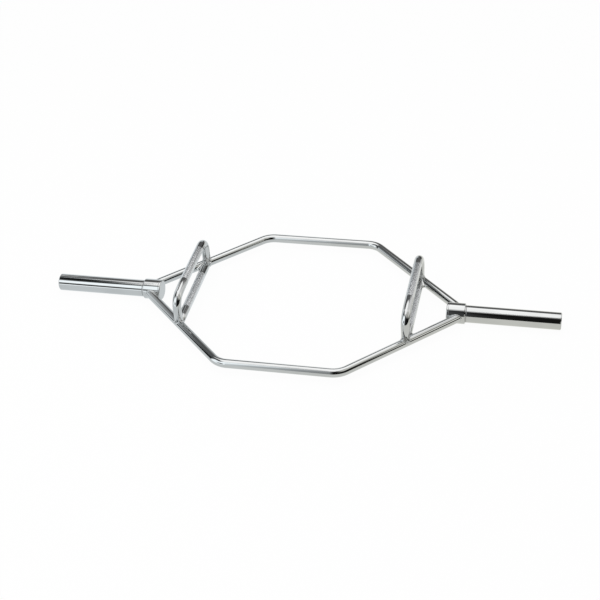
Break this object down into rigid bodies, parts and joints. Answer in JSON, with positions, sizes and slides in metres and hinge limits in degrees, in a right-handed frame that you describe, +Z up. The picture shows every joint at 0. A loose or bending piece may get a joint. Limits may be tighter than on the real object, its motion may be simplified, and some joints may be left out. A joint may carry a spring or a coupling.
{
  "type": "hexagonal deadlift bar",
  "caption": "Hexagonal deadlift bar: chromed frame to stand in, level and raised knurled hand grips, and turning sleeves for weight plates.",
  "frame": {"origin": "under the middle of the frame, on the level of the collars' lowest points", "axes": "+X along the sleeves to the right sleeve, +Y from the front rail to the rear rail, +Z up towards the raised grips"},
  "size_m": [1.5088, 0.6534, 0.1327],
  "materials": {
    "chrome": "bright chrome plate on steel",
    "knurled_chrome": "chrome plate, diamond knurl on the hand length",
    "satin_steel": "satin",
    "ground_steel": "turned and ground, lightly oiled",
    "bronze": "sintered bronze, oiled",
    "spring_steel": "black oxide"
  },
  "bodies": {
    "frame": {"front_frame_rail": "chrome", "rear_frame_rail": "chrome", "left_collar": "chrome", "right_collar": "chrome", "left_collar_plate": "chrome", "right_collar_plate": "chrome", "left_level_grip": "knurled_chrome", "right_level_grip": "knurled_chrome", "left_raised_handle": "knurled_chrome", "right_raised_handle": "knurled_chrome", "left_spindle": "ground_steel", "right_spindle": "ground_steel", "left_thrust_washer": "satin_steel", "right_thrust_washer": "satin_steel", "left_end_washer": "ground_steel", "right_end_washer": "ground_steel", "left_retaining_ring": "spring_steel", "right_retaining_ring": "spring_steel"},
    "left_turning_sleeve": {"left_sleeve": "chrome", "left_inner_bush": "bronze", "left_outer_bush": "bronze", "left_end_plug": "chrome"},
    "right_turning_sleeve": {"right_sleeve": "chrome", "right_inner_bush": "bronze", "right_outer_bush": "bronze", "right_end_plug": "chrome"}
  },
  "joints": [
    {"name": "left_sleeve_turn", "type": "hinge", "parent": "frame", "child": "left_turning_sleeve", "pos_m": [-0.48275, 0, 0.03], "axis": [1, 0, 0], "continuous": true},
    {"name": "right_sleeve_turn", "type": "hinge", "parent": "frame", "child": "right_turning_sleeve", "pos_m": [0.48275, 0, 0.03], "axis": [1, 0, 0], "continuous": true}
  ]
}
